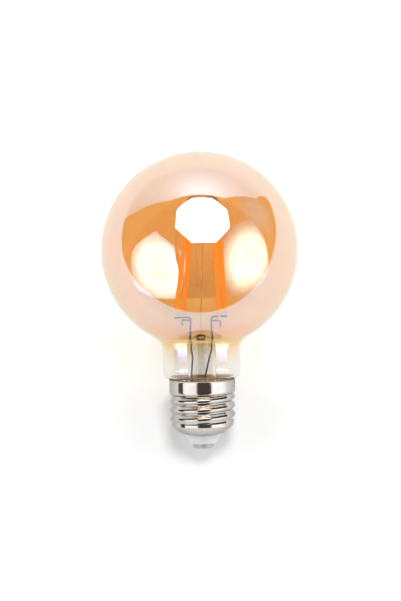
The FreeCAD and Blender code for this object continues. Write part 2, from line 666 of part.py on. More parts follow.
# Driver: round board on the sleeve, capacitor above it, chips and fuse resistor below it
pieces["driver_board"] = turned("driver_board", [
    ("0", board_foot),
    (sleeve, board_foot),
    (sleeve, board_top),
    ("0", board_top),
])
pieces["smoothing_capacitor"] = rod(
    "smoothing_capacitor", "capacitor_diameter", "capacitor_length",
    Vector(-size("capacitor_length / 2"), size("capacitor_offset"), board + size("capacitor_diameter / 2")),
    Vector(1, 0, 0))
chip_foot = size(board_foot + " - chip_height")
pieces["bridge_rectifier"] = block("bridge_rectifier", "chip_width", "chip_length", "chip_height",
                                   Vector(-size("chip_offset"), 0, chip_foot), Rotation())
pieces["driver_chip"] = block("driver_chip", "chip_width", "chip_length", "chip_height",
                              Vector(size("chip_offset"), 0, chip_foot), Rotation())
pieces["fuse_resistor"] = turned("fuse_resistor", [
    ("0", rivet_top),
    ("resistor_lead / 2", rivet_top),
    ("resistor_lead / 2", rivet_top + " + resistor_end"),
    ("resistor_diameter / 2", rivet_top + " + resistor_end"),
    ("resistor_diameter / 2", board_foot + " - resistor_end"),
    ("resistor_lead / 2", board_foot + " - resistor_end"),
    ("resistor_lead / 2", board_foot),
    ("0", board_foot),
])

doc.recompute()
for thing in doc.Objects:
    if "Invalid" in thing.State or "Error" in thing.State:
        raise RuntimeError("%s did not build: %s" % (thing.Name, thing.State))
os.makedirs("parts", exist_ok=True)
for label, piece in pieces.items():
    piece.Label = label
    shape = piece.Shape
    if shape.isNull() or not shape.isValid() or not shape.Solids:
        raise RuntimeError("%s has no sound solid" % label)
    shape.exportStep("parts/%s.step" % label)
print("%d pieces" % len(pieces))
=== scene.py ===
import bmesh
import bpy
from math import atan2, cos, degrees, hypot, pi, radians, sin, sqrt
from mathutils import Matrix, Vector


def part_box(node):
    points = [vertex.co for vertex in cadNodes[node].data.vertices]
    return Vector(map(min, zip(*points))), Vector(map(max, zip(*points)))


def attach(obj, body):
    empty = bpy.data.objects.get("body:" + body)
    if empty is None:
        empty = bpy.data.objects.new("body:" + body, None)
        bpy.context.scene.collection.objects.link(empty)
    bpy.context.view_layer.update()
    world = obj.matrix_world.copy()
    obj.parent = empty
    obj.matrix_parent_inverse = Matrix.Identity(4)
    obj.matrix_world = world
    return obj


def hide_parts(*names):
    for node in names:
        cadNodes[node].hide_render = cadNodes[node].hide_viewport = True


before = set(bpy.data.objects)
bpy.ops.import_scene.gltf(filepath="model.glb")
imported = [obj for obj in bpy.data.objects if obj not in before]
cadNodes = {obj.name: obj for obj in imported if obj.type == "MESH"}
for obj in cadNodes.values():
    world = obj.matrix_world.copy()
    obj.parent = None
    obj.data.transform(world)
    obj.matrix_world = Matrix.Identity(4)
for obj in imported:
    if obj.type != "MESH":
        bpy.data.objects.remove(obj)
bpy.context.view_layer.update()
scene = bpy.context.scene
scene.view_settings.view_transform = "Standard"
mm = 0.001
tiny = 0.001 * mm  # closer than this is the same place
print("frame loaded,", len(cadNodes), "nodes")


# node helpers: settings are attributes, inputs are socket values
def put(tree, kind, inputs=None, **settings):
    node = tree.nodes.new("ShaderNode" + kind)
    for name, value in settings.items():
        setattr(node, name, value)
    for name, value in (inputs or {}).items():
        node.inputs[name].default_value = value
    return node


def join(tree, fromNode, fromSocket, toNode, toSocket):
    tree.links.new(fromNode.outputs[fromSocket], toNode.inputs[toSocket])


def mapRange(tree, fromRange, toRange=(0.0, 1.0), curve="LINEAR"):
    return put(tree, "MapRange", {
        "From Min": fromRange[0], "From Max": fromRange[1],
        "To Min": toRange[0], "To Max": toRange[1]}, interpolation_type=curve)


def rgba(colour):
    return tuple(colour) + (1,)


# sockets of the Mix node go by number, because several share a name
mixShare = 0
floatA, floatB, floatMixed = 2, 3, 0
colourA, colourB, colourMixed = 6, 7, 2


def newMaterial(name):
    material = bpy.data.materials.new(name)
    material.use_nodes = True
    material.node_tree.nodes.clear()
    return material, material.node_tree


def finishMaterial(tree, shader, socket="BSDF"):
    out = put(tree, "OutputMaterial")
    join(tree, shader, socket, out, "Surface")


def newGroup(name, inputs, outputs):
    group = bpy.data.node_groups.new(name, "ShaderNodeTree")
    for label, kind, value in inputs:
        socket = group.interface.new_socket(label, in_out="INPUT", socket_type="NodeSocket" + kind)
        socket.default_value = value
    for label, kind in outputs:
        group.interface.new_socket(label, in_out="OUTPUT", socket_type="NodeSocket" + kind)
    return group, group.nodes.new("NodeGroupInput"), group.nodes.new("NodeGroupOutput")


# cloudy patches between two colours, with a mask for roughness
def makeMottle():
    group, given, result = newGroup(
        "mottle",
        [("Colour A", "Color", (1, 1, 1, 1)), ("Colour B", "Color", (0, 0, 0, 1)),
         ("Size", "Float", 200.0), ("Rough A", "Float", 0.2), ("Rough B", "Float", 0.4)],
        [("Colour", "Color"), ("Rough", "Float"), ("Mask", "Float")])
    place = put(group, "TexCoord")
    noise = put(group, "TexNoise", {"Detail": 5.0, "Roughness": 0.6})
    spread = mapRange(group, (0.3, 0.7))
    colour = put(group, "Mix", data_type="RGBA")
    rough = put(group, "Mix", data_type="FLOAT")
    join(group, place, "Object", noise, "Vector")
    join(group, given, "Size", noise, "Scale")
    join(group, noise, "Fac", spread, "Value")
    join(group, spread, "Result", colour, mixShare)
    join(group, given, "Colour A", colour, colourA)
    join(group, given, "Colour B", colour, colourB)
    join(group, spread, "Result", rough, mixShare)
    join(group, given, "Rough A", rough, floatA)
    join(group, given, "Rough B", rough, floatB)
    join(group, colour, colourMixed, result, "Colour")
    join(group, rough, floatMixed, result, "Rough")
    join(group, spread, "Result", result, "Mask")
    return group


# fine lines round the axis, as turning, rolling or drawing leaves them
def makeLines():
    group, given, result = newGroup(
        "turning lines",
        [("Across", "Float", 60.0), ("Along", "Float", 4000.0)], [("Height", "Float")])
    place = put(group, "TexCoord")
    stretch = put(group, "CombineXYZ")
    scaled = put(group, "VectorMath", operation="MULTIPLY")
    noise = put(group, "TexNoise", {"Scale": 1.0, "Detail": 3.0, "Roughness": 0.7})
    join(group, given, "Across", stretch, "X")
    join(group, given, "Across", stretch, "Y")
    join(group, given, "Along", stretch, "Z")
    join(group, place, "Object", scaled, 0)
    join(group, stretch, "Vector", scaled, 1)
    join(group, scaled, "Vector", noise, "Vector")
    join(group, noise, "Fac", result, "Height")
    return group


mottle = makeMottle()
turningLines = makeLines()


# an opaque finish: mottled colour, uneven gloss and a fine bump
def makeFinish(name, look):
    material, tree = newMaterial(name)
    colours = [rgba(colour) for colour in look["colours"]]
    # a glow is painted light: the part shines of itself, whatever the lamps do
    shader = put(tree, "BsdfPrincipled", {
        "Metallic": look.get("metallic", 0.0), "IOR": 1.5,
        "Coat Weight": look.get("coat", 0.0), "Coat Roughness": 0.1,
        "Emission Color": colours[0], "Emission Strength": look.get("glow", 0.0)})
    tone = put(tree, "Group", node_tree=mottle, inputs={
        "Colour A": colours[0], "Colour B": colours[1], "Size": look["size"],
        "Rough A": look["rough"][0], "Rough B": look["rough"][1]})
    bump = put(tree, "Bump", {
        "Strength": look.get("bump", 0.1), "Distance": look.get("depth", 0.02 * mm)})
    if "paintedLimbShade" in look:
        # painted shade: the colour darkens where the face turns away, standing in for the shaded paper that
        # the edges of the metal mirror; from, to and how much
        start, stop, most = look["paintedLimbShade"]
        turned = put(tree, "LayerWeight", {"Blend": 0.5})
        share = mapRange(tree, (start, stop), (0.0, most))
        limbShadeMix = put(tree, "Mix", {colourB: (0, 0, 0, 1)}, data_type="RGBA")
        join(tree, turned, "Facing", share, "Value")
        join(tree, share, "Result", limbShadeMix, mixShare)
        join(tree, tone, "Colour", limbShadeMix, colourA)
        join(tree, limbShadeMix, colourMixed, shader, "Base Color")
    else:
        join(tree, tone, "Colour", shader, "Base Color")
    join(tree, tone, "Rough", shader, "Roughness")
    if "lines" in look:
        lines = put(tree, "Group", node_tree=turningLines, inputs={
            "Across": look["lines"][0], "Along": look["lines"][1]})
        join(tree, lines, "Height", bump, "Height")
    else:
        join(tree, tone, "Mask", bump, "Height")
    join(tree, bump, "Normal", shader, "Normal")
    finishMaterial(tree, shader)
    return material


# painted shade in the glass: a black patch, full inside its core and clear at its radii, that stands in for
# the dark seen through the blow hole
def addPaintedShade(tree, place, tint, spot):
    away = put(tree, "VectorMath", {1: spot["middle"]}, operation="SUBTRACT")
    scaled = put(tree, "VectorMath", {1: [1 / r for r in spot["radii"]]}, operation="MULTIPLY")
    reach = put(tree, "VectorMath", operation="LENGTH")
    beyondPatch = mapRange(tree, (spot["core"], 1.0), curve="SMOOTHSTEP")
    paintedDark = put(tree, "Mix", {colourA: rgba(spot["colour"])}, data_type="RGBA")
    join(tree, place, "Object", away, 0)
    join(tree, away, "Vector", scaled, 0)
    join(tree, scaled, "Vector", reach, 0)
    join(tree, reach, "Value", beyondPatch, "Value")
    join(tree, beyondPatch, "Result", paintedDark, mixShare)
    join(tree, tint, colourMixed, paintedDark, colourB)
    return paintedDark


# the bare foot is not quite as smooth as the coated body, grain by grain
def addGrain(tree, place, split, shader, look):
    grain = put(tree, "TexWhiteNoise", noise_dimensions="3D")
    smooth = mapRange(tree, look["smooth"])
    foot = put(tree, "Math", operation="GREATER_THAN")
    rough = put(tree, "Math", {1: look["footRough"]}, operation="MULTIPLY")
    join(tree, place, "Object", grain, "Vector")
    join(tree, split, "Z", smooth, "Value")
    join(tree, grain, "Value", foot, 0)
    join(tree, smooth, "Result", foot, 1)
    join(tree, foot, "Value", rough, 0)
    join(tree, rough, "Value", shader, "Roughness")


# glass that lets the lamps' light through to what is inside it
def makeGlass(name, look):
    material, tree = newMaterial(name)
    shader = put(tree, "BsdfPrincipled", {
        "Roughness": look["rough"], "IOR": look["ior"], "Transmission Weight": 1.0,
        "Thin Film Thickness": look.get("film", 0.0)})
    through = put(tree, "BsdfTransparent")
    rays = put(tree, "LightPath")
    either = put(tree, "MixShader")
    place = put(tree, "TexCoord")
    split = put(tree, "SeparateXYZ")
    height = mapRange(tree, look["fade"], curve="SMOOTHSTEP")
    tint = put(tree, "Mix", data_type="RGBA", inputs={
        colourA: rgba(look["foot"]), colourB: rgba(look["body"])})
    shade = put(tree, "Mix", data_type="RGBA", inputs={
        colourA: rgba(look["footShade"]), colourB: rgba(look["bodyShade"])})
    join(tree, place, "Object", split, "Vector")
    join(tree, split, "Z", height, "Value")
    join(tree, height, "Result", tint, mixShare)
    join(tree, height, "Result", shade, mixShare)
    join(tree, shade, colourMixed, through, "Color")
    # painted shade: the black patch is mixed into the glass colour
    if "spot" in look:
        tint = addPaintedShade(tree, place, tint, look["spot"])
    join(tree, tint, colourMixed, shader, "Base Color")
    if "footRough" in look:
        addGrain(tree, place, split, shader, look)
    if "film" in look:
        # the film thins out to bare glass towards the foot
        film = mapRange(tree, look["filmFade"], (look["ior"], look["filmIor"]), "SMOOTHSTEP")
        join(tree, split, "Z", film, "Value")
        join(tree, film, "Result", shader, "Thin Film IOR")
    join(tree, rays, "Is Shadow Ray", either, "Fac")
    join(tree, shader, "BSDF", either, 1)
    join(tree, through, "BSDF", either, 2)
    finishMaterial(tree, either, "Shader")
    return material


# rough and colours are pairs that the mottle goes between
finishes = dict(
    leadWire=dict(colours=((0.035, 0.022, 0.012), (0.05, 0.03, 0.018)), size=900.0,
                  rough=(0.4, 0.55), metallic=0.2, bump=0.3),
    # the phosphor coat's glow is painted light: a steady self-light, standing in for the phosphor's
    # fluorescence under the lamps
    phosphor=dict(colours=((1.0, 0.43, 0.02), (0.98, 0.38, 0.015)), size=700.0,
                  rough=(0.35, 0.5), bump=0.25, depth=0.05 * mm, glow=0.24),
    supportWire=dict(colours=((0.55, 0.42, 0.26), (0.46, 0.34, 0.20)), size=900.0,
                     rough=(0.35, 0.5), metallic=0.6, bump=0.2),
    tabMetal=dict(colours=((0.80, 0.76, 0.68), (0.68, 0.64, 0.56)), size=1200.0,
                  rough=(0.3, 0.45), metallic=0.6),
    # the nickel gets painted shade towards the edges of its round faces
    nickel=dict(colours=((0.72, 0.69, 0.65), (0.67, 0.64, 0.60)), size=260.0,
                rough=(0.10, 0.17), metallic=1.0, lines=(40.0, 5000.0), bump=0.05,
                depth=0.01 * mm, paintedLimbShade=(0.2, 0.7, 0.45)),
    insulator=dict(colours=((0.955, 0.96, 0.975), (0.92, 0.925, 0.94)), size=500.0,
                   rough=(0.25, 0.4), coat=0.3, bump=0.08),
    contact=dict(colours=((0.60, 0.60, 0.61), (0.54, 0.54, 0.55)), size=600.0,
                 rough=(0.4, 0.5), metallic=0.5, bump=0.1),
    cement=dict(colours=((0.62, 0.36, 0.12), (0.46, 0.26, 0.085)), size=1500.0,
                rough=(0.8, 0.95), bump=0.8, depth=0.1 * mm),
    solder=dict(colours=((0.62, 0.62, 0.63), (0.48, 0.48, 0.50)), size=1200.0,
                rough=(0.15, 0.35), metallic=1.0, bump=0.4, depth=0.05 * mm),
    board=dict(colours=((0.05, 0.16, 0.07), (0.08, 0.22, 0.09)), size=900.0,
               rough=(0.3, 0.45), bump=0.2),
    chip=dict(colours=((0.018, 0.018, 0.019), (0.03, 0.03, 0.03)), size=2500.0,
              rough=(0.45, 0.6), bump=0.3),
    capacitor=dict(colours=((0.05, 0.055, 0.09), (0.07, 0.075, 0.11)), size=800.0,
                   rough=(0.2, 0.3), bump=0.05),
    resistor=dict(colours=((0.42, 0.33, 0.20), (0.36, 0.27, 0.16)), size=900.0,
                  rough=(0.3, 0.45), bump=0.1),
)
finish = {name: makeFinish(name, look) for name, look in finishes.items()}

# amber film on the body, fading out to bare glass at the neck's foot
lustreLook = dict(
    body=(0.96, 0.715, 0.375), foot=(0.95, 0.945, 0.915),
    bodyShade=(1.0, 0.98, 0.94), footShade=(0.99, 0.985, 0.98),
    fade=(33.0 * mm, 49.0 * mm), filmFade=(35.0 * mm, 54.0 * mm), film=127.0, filmIor=2.7,
    ior=1.52, rough=0.0, footRough=0.02, smooth=(32.5 * mm, 39.5 * mm))
clearLook = dict(
    body=(0.985, 0.985, 0.975), foot=(0.985, 0.985, 0.975),
    bodyShade=(0.99, 0.99, 0.985), footShade=(0.99, 0.99, 0.985),
    fade=(0.0, 1.0), ior=1.16, rough=0.0)
# painted shade round the blow hole of the stem, where the hole shows dark
paintedVentShade = dict(
    middle=(-0.2 * mm, -2.0 * mm, 45.5 * mm), radii=(2.3 * mm, 4.5 * mm, 1.0 * mm),
    core=0.75, colour=(0.0, 0.0, 0.0))
lustre = makeGlass("lustre glass", lustreLook)
clearGlass = makeGlass("clear glass", clearLook)
stemClear = makeGlass("stem glass", dict(clearLook, spot=paintedVentShade))
print("finishes ready")


# a matrix at a place, with one axis turned towards a point
def aimed(place, aim, axis):
    place = Vector(place)
    turn = (Vector(aim) - place).to_track_quat(axis, "Y").to_matrix().to_4x4()
    return Matrix.Translation(place) @ turn


# points of a round stretch in the (radius, height) plane, angles in degrees
def arc(middle, radius, start, stop, count):
    turns = [radians(start + (stop - start) * i / count) for i in range(count + 1)]
    return [(middle[0] + radius * cos(a), middle[1] + radius * sin(a)) for a in turns]


# an outline turned round the axis; a closed outline makes a ring
def lathe(outline, steps, closed=False):
    bm = bmesh.new()
    chain = [bm.verts.new((r, 0, z)) for r, z in outline]
    pairs = list(zip(chain, chain[1:]))
    if closed:
        pairs.append((chain[-1], chain[0]))
    edges = [bm.edges.new(pair) for pair in pairs]
    bmesh.ops.spin(bm, geom=chain + edges, cent=(0, 0, 0), axis=(0, 0, 1), dvec=(0, 0, 0),
                   angle=2 * pi, steps=steps, use_merge=True, use_duplicate=False)
    bmesh.ops.remove_doubles(bm, verts=bm.verts[:], dist=tiny)
    bmesh.ops.recalc_face_normals(bm, faces=bm.faces[:])
    return bm


def newObject(name, bm, crease=40.0):
    for face in bm.faces:
        face.smooth = True
    mesh = bpy.data.meshes.new(name)
    bm.to_mesh(mesh)
    bm.free()
    mesh.set_sharp_from_angle(angle=radians(crease))
    piece = bpy.data.objects.new(name, mesh)
    scene.collection.objects.link(piece)
    return piece


def dress(piece, material, slot, *replaced):
    piece.data.materials.clear()
    piece.data.materials.append(material)
    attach(piece, "root")
    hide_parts(*replaced)


# takes the shape of a cutter out of a piece, and keeps the result as its mesh
def carve(piece, cutter):
    hole = piece.modifiers.new("hole", "BOOLEAN")
    hole.operation = "DIFFERENCE"
    hole.solver = "EXACT"
    hole.object = cutter
    bpy.context.view_layer.update()
    graph = bpy.context.evaluated_depsgraph_get()
    done = bpy.data.meshes.new_from_object(piece.evaluated_get(graph))
    piece.modifiers.clear()
    piece.data = done
    bpy.data.objects.remove(cutter)


# blown globe, neck and spigot, one wall all over
globeGlass = dict(
    wall=0.8 * mm, neck=15.7 * mm, fillet=6.2 * mm, neckTop=39.81 * mm, neckFoot=31.31 * mm,
    outerRound=3.01 * mm, innerRound=1.29 * mm, slope=30.0, spigot=11.4 * mm, sealGap=0.02 * mm,
    steps=192, bodySteps=72, filletSteps=14, cornerSteps=12, waistSteps=8, crease=60.0)


# where the slope under the neck bends into the spigot
def glassWaist(look):
    slope = radians(look["slope"])
    corner = Vector((look["neck"] - look["outerRound"], look["neckFoot"]))
    bend = corner + look["outerRound"] * Vector((sin(slope), -cos(slope)))
    across = look["spigot"] + look["innerRound"]
    start = across - look["innerRound"] * sin(slope)
    height = bend.y - (bend.x - start) * sin(slope) / cos(slope)
    return corner, Vector((across, height - look["innerRound"] * cos(slope)))


def makeGlobe(look):
    low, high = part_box("glass_globe")
    radius = (high.x - low.x) / 2
    middle = (0, high.z - radius)
    blend = (look["neck"] + look["fillet"], look["neckTop"])
    lean = degrees(atan2(blend[1] - middle[1], blend[0]))
    corner, waist = glassWaist(look)
    slope = look["slope"]
    wall = look["wall"]
    foot = low.z + look["sealGap"]
    outline = arc(middle, radius, 90, lean, look["bodySteps"])
    outline += arc(blend, look["fillet"], lean + 180, 180, look["filletSteps"])
    outline += arc(corner, look["outerRound"], 0, slope - 90, look["cornerSteps"])
    outline += arc(waist, look["innerRound"], 90 + slope, 180, look["waistSteps"])
    outline += [(look["spigot"], foot), (look["spigot"] - wall, foot)]
    # and back up the inside
    outline += arc(waist, look["innerRound"] + wall, 180, 90 + slope, look["waistSteps"])
    outline += arc(corner, look["outerRound"] - wall, slope - 90, 0, look["cornerSteps"])
    outline += arc(blend, look["fillet"] + wall, 180, lean + 180, look["filletSteps"])
    outline += arc(middle, radius - wall, lean, 90, look["bodySteps"])
    return newObject("globe_glass", lathe(outline, look["steps"]), look["crease"])


dress(makeGlobe(globeGlass), lustre, "amber_glass", "glass_globe")

# stem: flare, tube and the pinched press with its blow hole
stemGlass = dict(
    flange=11.4 * mm, mouth=10.4 * mm, tube=5.9 * mm, wall=1.0 * mm, seal=23.0 * mm,
    flareTop=31.0 * mm, tubeTop=42.0 * mm, cavity=45.9 * mm, pinchTop=46.4 * mm,
    pressWidth=9.8 * mm, pressDepth=3.6 * mm, pressRound=0.7 * mm,
    ventHeight=45.2 * mm, ventRadius=1.1 * mm, ventSides=32,
    steps=96, domeSteps=16, flareSteps=12, pinchRows=12, edgeSteps=6, crease=60.0)


def ease(share):
    share = min(max(share, 0.0), 1.0)
    return share * share * (3.0 - 2.0 * share)


def makeStem(look):
    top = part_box("glass_stem")[1].z
    spread = look["mouth"] - look["tube"]
    rise = look["flareTop"] - look["seal"]
    flare = (spread ** 2 + rise ** 2) / (2 * spread)
    pivot = (look["tube"] + flare, look["flareTop"])
    inner = flare + look["wall"]
    foot = look["seal"] - look["wall"]
    half = look["pressWidth"] / 2
    bore = look["tube"] - look["wall"]
    dome = look["cavity"] - look["tubeTop"]
    quarter = arc((0, 0), 1.0, 90, 0, look["domeSteps"])
    outline = [(u * bore, look["tubeTop"] + v * dome) for u, v in quarter]
    drop = rise + look["wall"]
    innerTurn = degrees(atan2(drop, sqrt(inner ** 2 - drop ** 2)))
    outline += arc(pivot, inner, 180, 180 + innerTurn, look["flareSteps"])
    outline += [(look["flange"], foot), (look["flange"], look["seal"])]
    outerTurn = degrees(atan2(rise, flare - spread))
    outline += arc(pivot, flare, 180 + outerTurn, 180, look["flareSteps"])
    pinch = look["pinchTop"] - look["tubeTop"]
    for i in range(look["pinchRows"] + 1):
        share = i / look["pinchRows"]
        width = look["tube"] + (half - look["tube"]) * ease(share)
        outline.append((width, look["tubeTop"] + pinch * share))
    edge = look["pressRound"]
    outline += arc((half - edge, top - edge), edge, 0, 90, look["edgeSteps"])
    outline.append((0, top))
    bm = lathe(outline, look["steps"])
    # the hot tube is pinched flat between two jaws
    jaw = look["pressDepth"] / 2
    for vert in bm.verts:
        reach = hypot(vert.co.x, vert.co.y)
        if vert.co.z <= look["tubeTop"] or reach < tiny:
            continue
        share = ease((vert.co.z - look["tubeTop"]) / pinch)
        part = reach / half
        flatX = half * vert.co.x / reach
        over = max(abs(flatX) - (half - jaw), 0.0)
        flatY = sqrt(max(jaw ** 2 - over ** 2, 0.0)) * (1 if vert.co.y >= 0 else -1)
        vert.co.x += (flatX * part - vert.co.x) * share
        vert.co.y += (flatY * part - vert.co.y) * share
    piece = newObject("stem_glass", bm, look["crease"])
    # the blow hole goes through the front only
    drill = bmesh.new()
    bmesh.ops.create_cone(drill, cap_ends=True, segments=look["ventSides"], radius1=look["ventRadius"],
                          radius2=look["ventRadius"], depth=look["tube"])
    bmesh.ops.rotate(drill, verts=drill.verts[:], cent=(0, 0, 0),
                     matrix=Matrix.Rotation(radians(90), 3, "X"))
    bmesh.ops.translate(drill, verts=drill.verts[:], vec=(0, -look["tube"] / 2, look["ventHeight"]))
    carve(piece, newObject("drill", drill))
    return piece


dress(makeStem(stemGlass), stemClear, "clear_glass", "glass_stem")

# exhaust tube: melted shut at its foot, and reaching up into the dome of the stem
exhaustGlass = dict(radius=2.0 * mm, wall=0.7 * mm, reach=1.6 * mm, steps=48, tipSteps=10, crease=60.0)


def makeExhaust(look):
    low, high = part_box("exhaust_tube")
    tip = (0, low.z + look["radius"])
    top = high.z + look["reach"]
    bore = look["radius"] - look["wall"]
    outline = arc(tip, look["radius"], -90, 0, look["tipSteps"]) + [(look["radius"], top), (bore, top)]
    outline += arc(tip, bore, 0, -90, look["tipSteps"])
    return newObject("exhaust_glass", lathe(outline, look["steps"]), look["crease"])


dress(makeExhaust(exhaustGlass), clearGlass, "clear_glass", "exhaust_tube")
print("glass turned")

# screw shell: rolled sheet with lip, collar, thread and rounded bottom
shellSheet = dict(
    wall=0.3 * mm, collar=13.15 * mm, lipFlare=0.35 * mm, lipHeight=0.8 * mm,
    threadHigh=23.8 * mm, threadLow=9.5 * mm, crest=13.05 * mm, root=12.05 * mm, pitch=3.629 * mm,
    firstCrest=21.05 * mm, lap=0.4 * mm, bowlTop=12.2 * mm, bowlRound=8.8 * mm, floor=7.9 * mm,
    notchReach=3.2 * mm, notchWidth=0.8 * mm, notchDepth=1.2 * mm, notchTurn=-12.0,
    steps=192, rows=64, lipSteps=8, bowlSteps=12, crease=35.0)


# a wave that climbs with the turn, and dies out into the collar and the bowl
def threadRadius(look, turn, z):
    middle = (look["crest"] + look["root"]) / 2
    swing = (look["crest"] - look["root"]) / 2
    out = ease((z + look["lap"] - look["threadHigh"]) / (look["pitch"] / 2) + 1)
    back = ease((look["threadLow"] + look["lap"] - z) / (look["pitch"] / 2) + 1)
    plain = middle + (look["collar"] - middle) * out + (look["bowlTop"] - middle) * back
    wave = swing * (1 - out) * (1 - back)
    return plain + wave * cos(2 * pi * (z - look["firstCrest"]) / look["pitch"] - turn)


def makeShell(look):
    low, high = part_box("screw_shell")
    lip = (look["lipFlare"] ** 2 + look["lipHeight"] ** 2) / (2 * look["lipFlare"])
    lipPivot = (look["collar"] + lip, high.z - look["lipHeight"])
    lean = degrees(atan2(look["lipHeight"], lip - look["lipFlare"]))
    outline = arc(lipPivot, lip, 180 - lean, 180, look["lipSteps"])
    drop = look["threadHigh"] - look["threadLow"]
    for i in range(look["rows"] + 1):
        outline.append((look["collar"], look["threadHigh"] - drop * i / look["rows"]))
    # the bowl's round goes through the thread's end and the edge of the floor
    chord = Vector((look["bowlTop"] - look["floor"], look["threadLow"] - low.z))
    side = Vector((-chord.y, chord.x)).normalized()
    sink = sqrt(look["bowlRound"] ** 2 - chord.length_squared / 4)
    pivot = Vector((look["floor"], low.z)) + chord / 2 + side * sink
    start = degrees(atan2(look["threadLow"] - pivot.y, look["bowlTop"] - pivot.x))
    stop = degrees(atan2(low.z - pivot.y, look["floor"] - pivot.x))
    outline += arc(pivot, look["bowlRound"], start, stop, look["bowlSteps"])[1:]
    bm = lathe(outline, look["steps"])
    for vert in bm.verts:
        if look["threadLow"] - tiny <= vert.co.z <= look["threadHigh"] + tiny:
            turn = atan2(vert.co.y, vert.co.x)
            radius = threadRadius(look, turn, vert.co.z)
            vert.co.x = radius * cos(turn)
            vert.co.y = radius * sin(turn)
    bmesh.ops.recalc_face_normals(bm, faces=bm.faces[:])
    bmesh.ops.solidify(bm, geom=bm.faces[:], thickness=look["wall"])
    piece = newObject("shell_sheet", bm, look["crease"])
    # the notch for the shell wire: half of the cutter stands above the rim
    notch = bmesh.new()
    bmesh.ops.create_cube(notch, size=1.0)
    bmesh.ops.scale(notch, verts=notch.verts[:],
                    vec=(look["notchReach"], look["notchWidth"], 2 * look["notchDepth"]))
    bmesh.ops.translate(notch, verts=notch.verts[:], vec=(look["collar"], 0, high.z))
    bmesh.ops.rotate(notch, verts=notch.verts[:], cent=(0, 0, 0),
                     matrix=Matrix.Rotation(radians(look["notchTurn"]), 3, "Z"))
    carve(piece, newObject("notch", notch))
    return piece


dress(makeShell(shellSheet), finish["nickel"], "plated_shell", "screw_shell")

# insulator: cone below the shell, sleeve round the driver above it
insulatorBody = dict(
    bore=1.55 * mm, foot=5.3 * mm, hole=7.75 * mm, coneTop=6.2 * mm, seat=6.8 * mm,
    sleeve=10.45 * mm, sleeveFoot=8.82 * mm, sleeveWall=1.0 * mm, floor=7.7 * mm, slope=1.7 * mm,
    edge=0.35 * mm, edgeSteps=4, steps=96, crease=30.0)


def makeInsulator(look):
    low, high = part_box("cap_insulator")
    inside = look["sleeve"] - look["sleeveWall"]
    outline = [(look["bore"], low.z), (look["foot"], low.z), (look["hole"], look["coneTop"]),
               (look["hole"], look["seat"]), (look["sleeve"], look["sleeveFoot"]), (look["sleeve"], high.z),
               (inside, high.z), (inside, look["floor"] + look["slope"]),
               (inside - look["slope"], look["floor"]), (look["bore"], look["floor"])]
    bm = lathe(outline, look["steps"], closed=True)
    rim = []
    for edge in bm.edges:
        outside = [hypot(v.co.x, v.co.y) > look["bore"] + tiny for v in edge.verts]
        atFoot = [abs(v.co.z - low.z) < tiny for v in edge.verts]
        if all(outside) and all(atFoot):
            rim.append(edge)
    bmesh.ops.bevel(bm, geom=rim, offset=look["edge"], offset_type="OFFSET", affect="EDGES",
                    segments=look["edgeSteps"], profile=0.5, material=-1)
    return newObject("insulator_body", bm, look["crease"])


dress(makeInsulator(insulatorBody), finish["insulator"], "insulator", "cap_insulator")

# contact: a rivet through the foot of the insulator
contactRivet = dict(
    head=4.3 * mm, round=0.7 * mm, headTop=1.9 * mm, shank=1.5 * mm, steps=64, roundSteps=8, crease=35.0)


def makeContact(look):
    low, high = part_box("centre_contact")
    corner = (look["head"] - look["round"], low.z + look["round"])
    outline = [(0, low.z)] + arc(corner, look["round"], -90, 0, look["roundSteps"])
    outline += [(look["head"], look["headTop"]), (look["shank"], look["headTop"])]
    outline += [(look["shank"], high.z), (0, high.z)]
    return newObject("contact_rivet", lathe(outline, look["steps"]), look["crease"])


dress(makeContact(contactRivet), finish["contact"], "contact", "centre_contact")

# cement: fills the gap between glass and collar, up under the shoulder of the glass
cementFill = dict(rim=12.84 * mm, rimTop=27.85 * mm, gap=0.03 * mm, steps=96, waistSteps=10, crease=50.0)


def makeCement(look):
    low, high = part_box("cap_cement")
    outer = (high.x - low.x) / 2
    glass = globeGlass
    waist = glassWaist(glass)[1]
    outline = [(glass["spigot"] + look["gap"], low.z), (outer, low.z), (outer, high.z)]
    outline.append((look["rim"], look["rimTop"]))
    bend = glass["innerRound"] - look["gap"]
    outline += arc(waist, bend, 90 + glass["slope"], 180, look["waistSteps"])
    return newObject("cement_fill", lathe(outline, look["steps"], closed=True), look["crease"])


dress(makeCement(cementFill), finish["cement"], "cement", "cap_cement")
print("cap turned")

# filaments: a soft coat over a row of chips, on the axis of each node
filamentCoat = dict(round=0.5 * mm, chips=28, swell=0.025, rows=112, steps=20, endSteps=5, crease=50.0)
filamentNumbers = range(1, 5)


# both ends of a slanting rod, on its axis
def rodEnds(node):
    points = [v.co.copy() for v in cadNodes[node].data.vertices]
    middle = (min(p.z for p in points) + max(p.z for p in points)) / 2
    below = [p for p in points if p.z < middle]
    above = [p for p in points if p.z >= middle]
    start = sum(below, Vector()) / len(below)
    stop = sum(above, Vector()) / len(above)
    axis = (stop - start).normalized()
    along = [(p - start).dot(axis) for p in points]
    return start + axis * min(along), start + axis * max(along)


